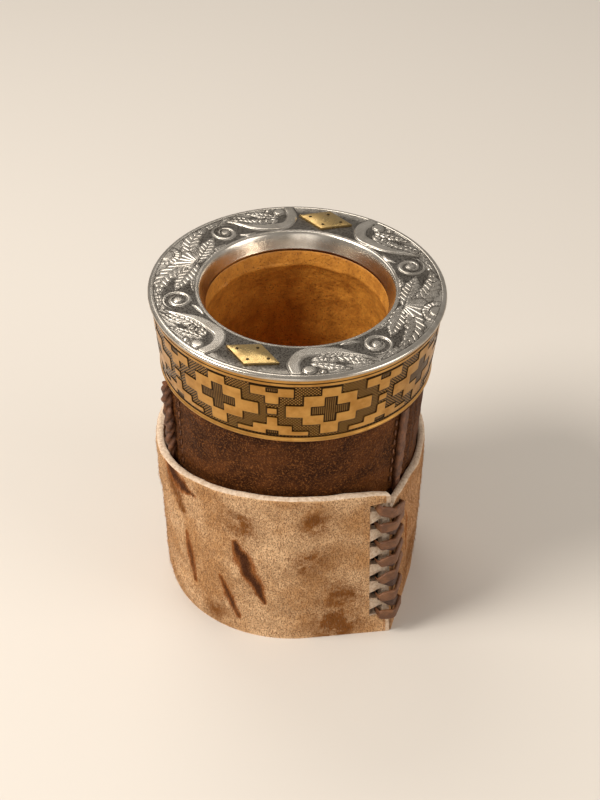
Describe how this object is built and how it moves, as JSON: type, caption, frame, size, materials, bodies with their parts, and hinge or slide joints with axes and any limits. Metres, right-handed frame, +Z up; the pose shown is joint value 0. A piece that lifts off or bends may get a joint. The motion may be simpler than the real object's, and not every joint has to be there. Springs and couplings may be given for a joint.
{
  "type": "mate gourd cup",
  "caption": "Empty mate cup: leather-covered gourd with a chased silver rim, lozenge plates and engraved brass band, standing in a laced sleeve of hair-on hide.",
  "frame": {"origin": "on the table, at the middle of the whole part's footprint, under the middle of the rim", "axes": "+Z up along the cup, -Y towards the front, where the sleeve's plain face is; +X to the right"},
  "size_m": [0.0904, 0.09, 0.1115],
  "materials": {
    "gourd": "dry, lightly burnished",
    "cover_leather": "worn grain leather",
    "rim_silver": "chased, with darkened ground and polished throat",
    "band_brass": "engraved, darkened in the lines",
    "lozenge_brass": "polished",
    "pin_metal": "dull",
    "cord_leather": "twisted leather",
    "hide": "hair-on hide with raw edges",
    "lace_leather": "smooth flat thong"
  },
  "bodies": {
    "root": {"gourd_shell": "gourd", "leather_cover": "cover_leather", "rim": "rim_silver", "band": "band_brass", "lozenge_front": "lozenge_brass", "lozenge_back": "lozenge_brass", "pin_front_1": "pin_metal", "pin_front_2": "pin_metal", "pin_front_3": "pin_metal", "pin_front_4": "pin_metal", "pin_back_1": "pin_metal", "pin_back_2": "pin_metal", "pin_back_3": "pin_metal", "pin_back_4": "pin_metal", "seam_cord_left": "cord_leather", "seam_cord_right": "cord_leather", "seam_cord_back": "cord_leather", "hide_sleeve": "hide", "lacing": "lace_leather"}
  },
  "joints": []
}
